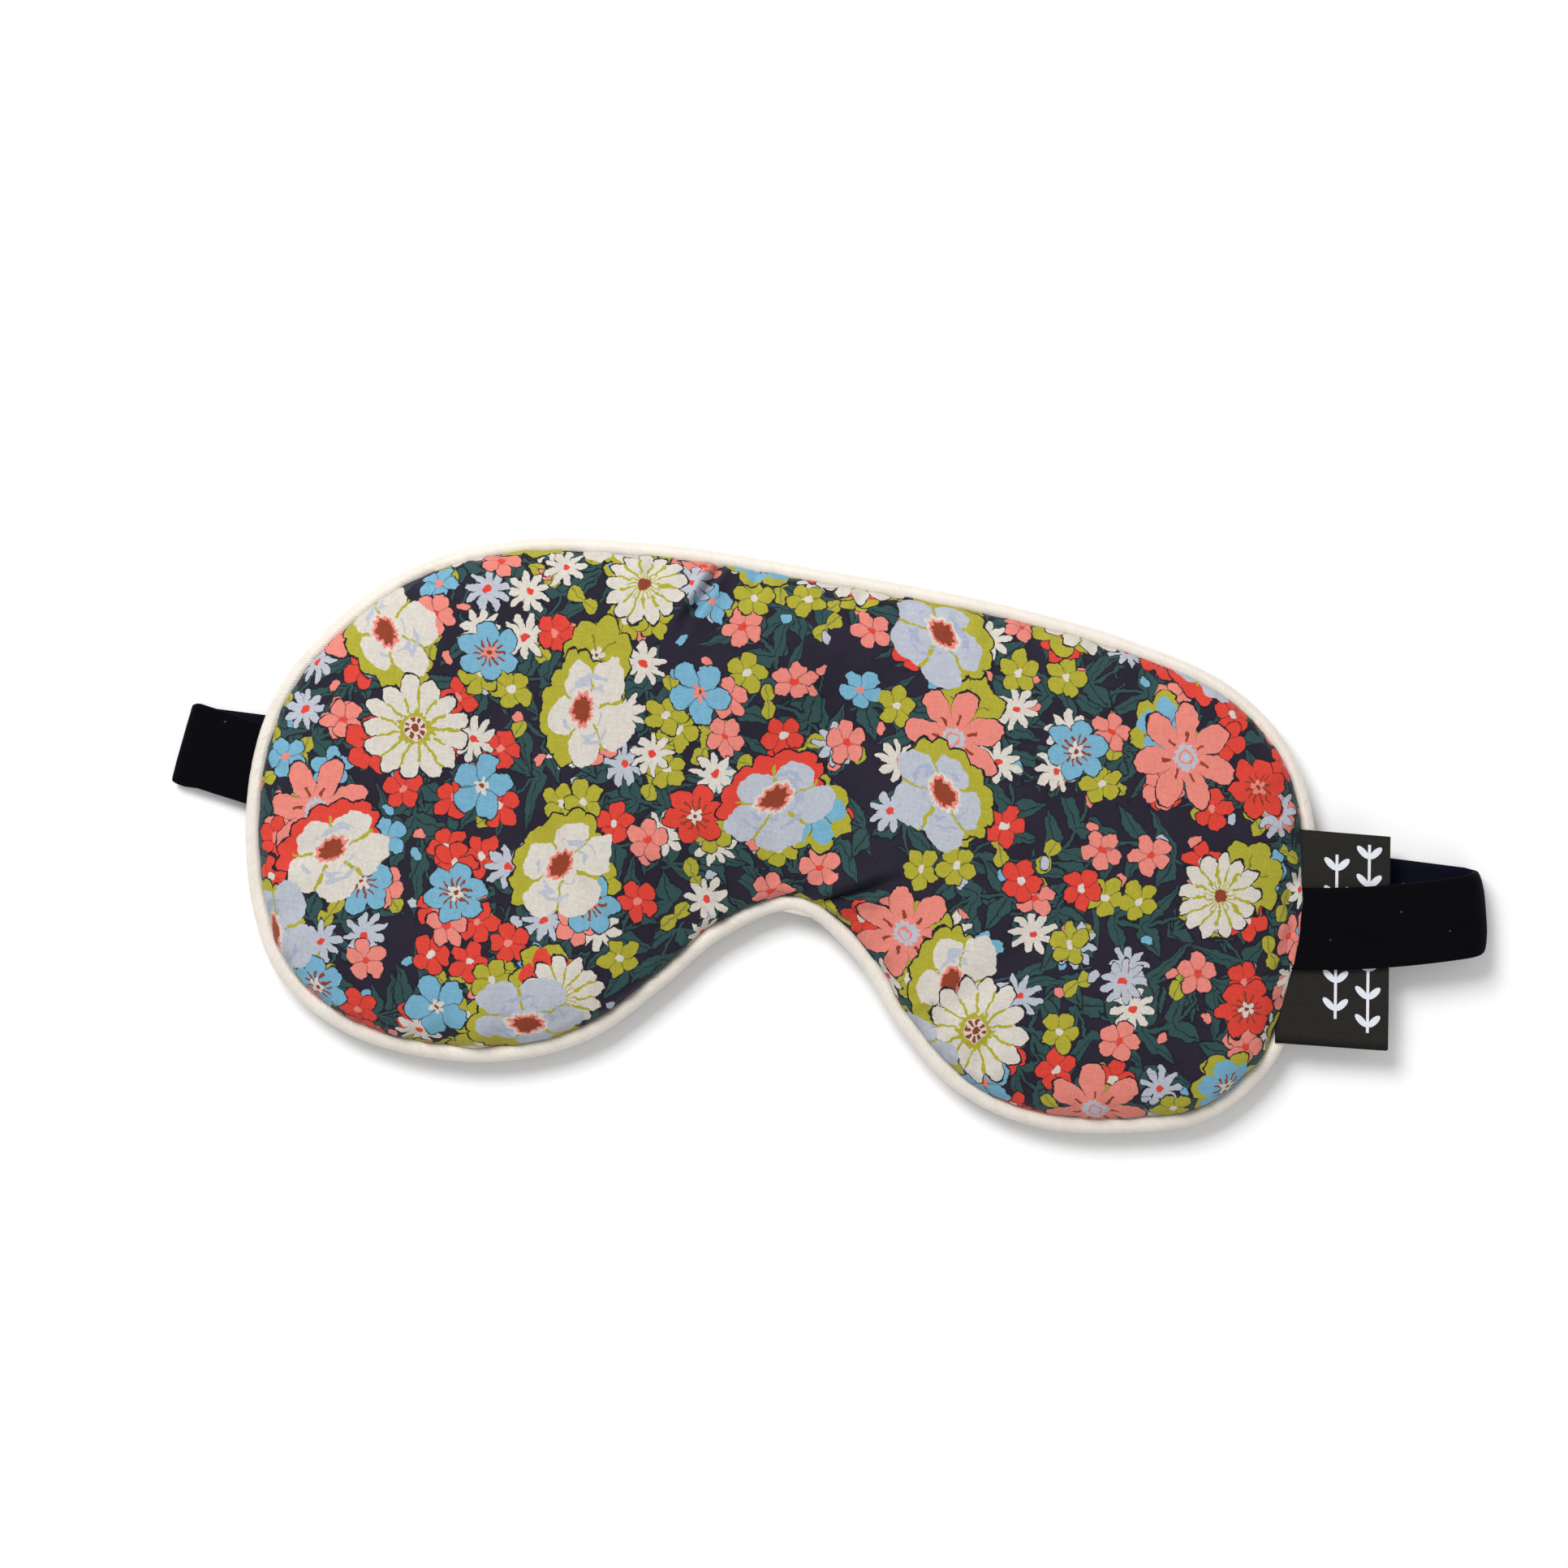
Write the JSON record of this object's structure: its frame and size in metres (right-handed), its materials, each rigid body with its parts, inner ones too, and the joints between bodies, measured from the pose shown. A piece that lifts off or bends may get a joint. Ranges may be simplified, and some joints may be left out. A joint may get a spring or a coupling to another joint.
{
  "type": "sleep mask",
  "caption": "Padded sleep mask with a piped edge, a nose notch, a folded label and a flat elastic head strap that opens behind it.",
  "frame": {"origin": "middle of the underside of the whole mask with its strap, on the surface that it lies on", "axes": "+X along the mask's width towards the label, +Y towards the forehead edge, +Z out of the printed front"},
  "size_m": [0.2566, 0.1068, 0.0135],
  "materials": {
    "printed_cotton": "printed cotton lawn, dense small flowers on navy, matte",
    "wadding": "soft polyester wadding",
    "blackout_cloth": "opaque black interlining",
    "lining_cloth": "plain dark cotton sateen",
    "piping_satin": "ivory bias satin with a soft sheen",
    "cotton_cord": "twisted cotton cord",
    "thread": "polyester sewing thread",
    "strap_elastic": "black plush-faced woven elastic",
    "label_tape": "black woven satin tape with a white pattern"
  },
  "bodies": {
    "mask_pad": {"front_cover": "printed_cotton", "front_wadding": "wadding", "blackout_layer": "blackout_cloth", "rear_wadding": "wadding", "back_lining": "lining_cloth", "piping_cover": "piping_satin", "piping_cord": "cotton_cord", "seam_thread": "thread", "strap_right_end": "strap_elastic", "strap_left_end": "strap_elastic", "label_seam_end": "label_tape"},
    "label_tab": {"label": "label_tape"},
    "right_run": {"strap_right_run": "strap_elastic", "strap_right_fold": "strap_elastic"},
    "back_right": {"strap_back_right": "strap_elastic"},
    "back_left": {"strap_back_left": "strap_elastic"},
    "left_run": {"strap_left_run": "strap_elastic", "strap_left_fold": "strap_elastic"}
  },
  "joints": [
    {"name": "strap_open", "type": "hinge", "parent": "mask_pad", "child": "right_run", "pos_m": [0.0976, 0.0008, 0.0072], "axis": [0, 1, 0], "range_deg": [0, 60], "deforming": ["strap_right_fold"]},
    {"name": "right_fold_open", "type": "hinge", "parent": "right_run", "child": "back_right", "pos_m": [0.1236, 0.0083, 0.00465], "axis": [0, -1, 0], "range_deg": [0, 83], "deforming": ["strap_right_fold"]},
    {"name": "strap_middle_bend", "type": "hinge", "parent": "back_right", "child": "back_left", "pos_m": [-0.0015, 0.0038, 0.0012], "axis": [0, 1, 0], "range_deg": [0, 51]},
    {"name": "left_fold_open", "type": "hinge", "parent": "back_left", "child": "left_run", "pos_m": [-0.1266, -0.0012, 0.00168], "axis": [0, -1, 0], "range_deg": [0, 103], "deforming": ["strap_left_fold"]},
    {"name": "label_swing", "type": "hinge", "parent": "mask_pad", "child": "label_tab", "pos_m": [0.0976, -0.0012, 0.0072], "axis": [0, 1, 0], "range_deg": [0, 60]}
  ],
  "couplings": [
    {"joint": "right_fold_open", "follows": "strap_open", "ratio": 1.3804},
    {"joint": "strap_middle_bend", "follows": "strap_open", "ratio": 0.8416},
    {"joint": "left_fold_open", "follows": "strap_open", "ratio": 1.7111},
    {"joint": "label_swing", "follows": "strap_open", "ratio": 1}
  ]
}
